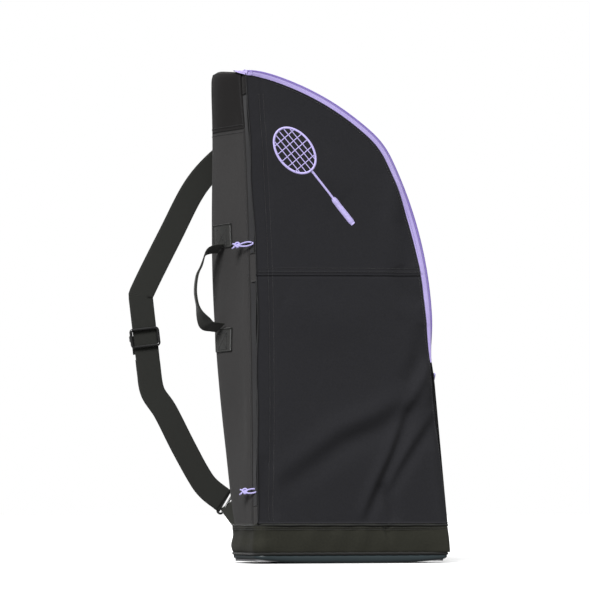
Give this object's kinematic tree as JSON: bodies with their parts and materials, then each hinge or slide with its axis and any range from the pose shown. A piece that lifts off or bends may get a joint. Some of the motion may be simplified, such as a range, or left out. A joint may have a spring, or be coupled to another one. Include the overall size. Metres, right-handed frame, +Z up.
{
  "type": "racket backpack",
  "caption": "Tall soft racket backpack with a flat base, sloping top closed by a curved zip, zipped side pockets, side carry handle and webbing shoulder straps.",
  "frame": {"origin": "middle of the base's underside, on the floor", "axes": "+Z up, -Y out of the front panel, +X to the right as seen from the front"},
  "size_m": [0.4409, 0.2561, 0.7369],
  "materials": {
    "panel_fabric": "fine matte polyester weave",
    "print_film": "thin matte heat-transfer film",
    "side_fabric": "smooth matte polyester",
    "black_fabric": "matte polyester",
    "foam": "closed-cell foam",
    "lining_fabric": "plain thin lining",
    "base_fabric": "coated matte weave",
    "base_rubber": "slightly glossy coated sheet",
    "base_board": "plain",
    "piping": "corded binding",
    "zip_tape": "woven tape",
    "zip_coil": "moulded coil",
    "slider_metal": "satin lacquer",
    "cord": "braided cord",
    "pocket_zip_tape": "woven tape",
    "pocket_zip_coil": "moulded coil",
    "webbing": "flat woven webbing",
    "tab_webbing": "coarse woven webbing",
    "buckle_plastic": "moulded, semi-gloss"
  },
  "bodies": {
    "bag": {"front_panel_lower": "panel_fabric", "front_panel_upper": "panel_fabric", "front_print": "print_film", "left_side_panel": "side_fabric", "top_gusset": "black_fabric", "right_side_panel": "black_fabric", "back_panel_fabric": "black_fabric", "back_panel_foam": "foam", "back_panel_lining": "lining_fabric", "base_tray": "base_rubber", "base_board": "base_board", "base_piping": "piping", "base_band": "base_fabric", "pocket_divider": "lining_fabric", "pocket_shelf": "lining_fabric", "main_zip_start_tape": "zip_tape", "main_zip_front_tape": "zip_tape", "main_zip_front_teeth": "zip_coil", "main_zip_rear_tape": "zip_tape", "main_zip_rear_teeth": "zip_coil", "main_zip_end_stop": "slider_metal", "upper_pocket_zip_front_tape": "pocket_zip_tape", "upper_pocket_zip_rear_tape": "pocket_zip_tape", "upper_pocket_zip_teeth": "pocket_zip_coil", "lower_pocket_zip_front_tape": "pocket_zip_tape", "lower_pocket_zip_rear_tape": "pocket_zip_tape", "lower_pocket_zip_teeth": "pocket_zip_coil", "handle_patches": "webbing", "strap_anchor_patch": "webbing", "left_strap_tab": "tab_webbing", "right_strap_tab": "tab_webbing"},
    "main_zip_slider": {"main_zip_slider": "slider_metal"},
    "main_zip_cord": {"main_zip_cord": "cord"},
    "upper_pocket_zip_slider": {"upper_pocket_zip_slider": "slider_metal"},
    "upper_pocket_zip_cord": {"upper_pocket_zip_cord": "cord"},
    "lower_pocket_zip_slider": {"lower_pocket_zip_slider": "slider_metal"},
    "lower_pocket_zip_cord": {"lower_pocket_zip_cord": "cord"},
    "carry_handle": {"handle_webbing": "webbing"},
    "left_strap": {"left_strap_webbing": "webbing", "left_strap_ring": "buckle_plastic"},
    "left_adjuster": {"left_strap_adjuster": "buckle_plastic", "left_strap_end_loop": "webbing"},
    "right_strap": {"right_strap_webbing": "webbing", "right_strap_ring": "buckle_plastic"},
    "right_adjuster": {"right_strap_adjuster": "buckle_plastic", "right_strap_end_loop": "webbing"}
  },
  "joints": [
    {"name": "main_zip_travel", "type": "hinge", "parent": "bag", "child": "main_zip_slider", "pos_m": [-0.446, -0.0613, 0.35232], "axis": [0, -0.9973, 0.0734], "range_deg": [0, 32]},
    {"name": "main_zip_cord_swing", "type": "hinge", "parent": "main_zip_slider", "child": "main_zip_cord", "pos_m": [0.14129, -0.06659, 0.2804], "axis": [0, 0.9973, -0.0734], "range_deg": [-120, 4]},
    {"name": "upper_pocket_zip_travel", "type": "slide", "parent": "bag", "child": "upper_pocket_zip_slider", "axis": [0, 0.0734, 0.9973], "range_m": [0, 0.213]},
    {"name": "upper_pocket_zip_cord_swing", "type": "hinge", "parent": "upper_pocket_zip_slider", "child": "upper_pocket_zip_cord", "pos_m": [-0.162, -0.05555, 0.47122], "axis": [-1, 0, 0], "range_deg": [-60, 90]},
    {"name": "lower_pocket_zip_travel", "type": "slide", "parent": "bag", "child": "lower_pocket_zip_slider", "axis": [0, 0.0734, 0.9973], "range_m": [0, 0.306]},
    {"name": "lower_pocket_zip_cord_swing", "type": "hinge", "parent": "lower_pocket_zip_slider", "child": "lower_pocket_zip_cord", "pos_m": [-0.162, -0.08294, 0.09923], "axis": [-1, 0, 0], "range_deg": [-60, 90]},
    {"name": "carry_handle_swing", "type": "hinge", "parent": "bag", "child": "carry_handle", "pos_m": [-0.1686, 0.02657, 0.41], "axis": [0, 0, 1], "range_deg": [-60, 60]},
    {"name": "left_strap_swing", "type": "hinge", "parent": "bag", "child": "left_strap", "pos_m": [-0.124, 0.1016, 0.066], "axis": [0.1045, 0, 0.9945], "range_deg": [-110, 0]},
    {"name": "left_adjuster_slide", "type": "slide", "parent": "left_strap", "child": "left_adjuster", "axis": [0.1232, 0, -0.9924], "range_m": [-0.04, 0.025]},
    {"name": "right_strap_swing", "type": "hinge", "parent": "bag", "child": "right_strap", "pos_m": [0.124, 0.1016, 0.066], "axis": [-0.1922, 0, 0.9814], "range_deg": [-165, 0]},
    {"name": "right_adjuster_slide", "type": "slide", "parent": "right_strap", "child": "right_adjuster", "axis": [0.4016, -0.0586, -0.9139], "range_m": [-0.04, 0.025]}
  ]
}
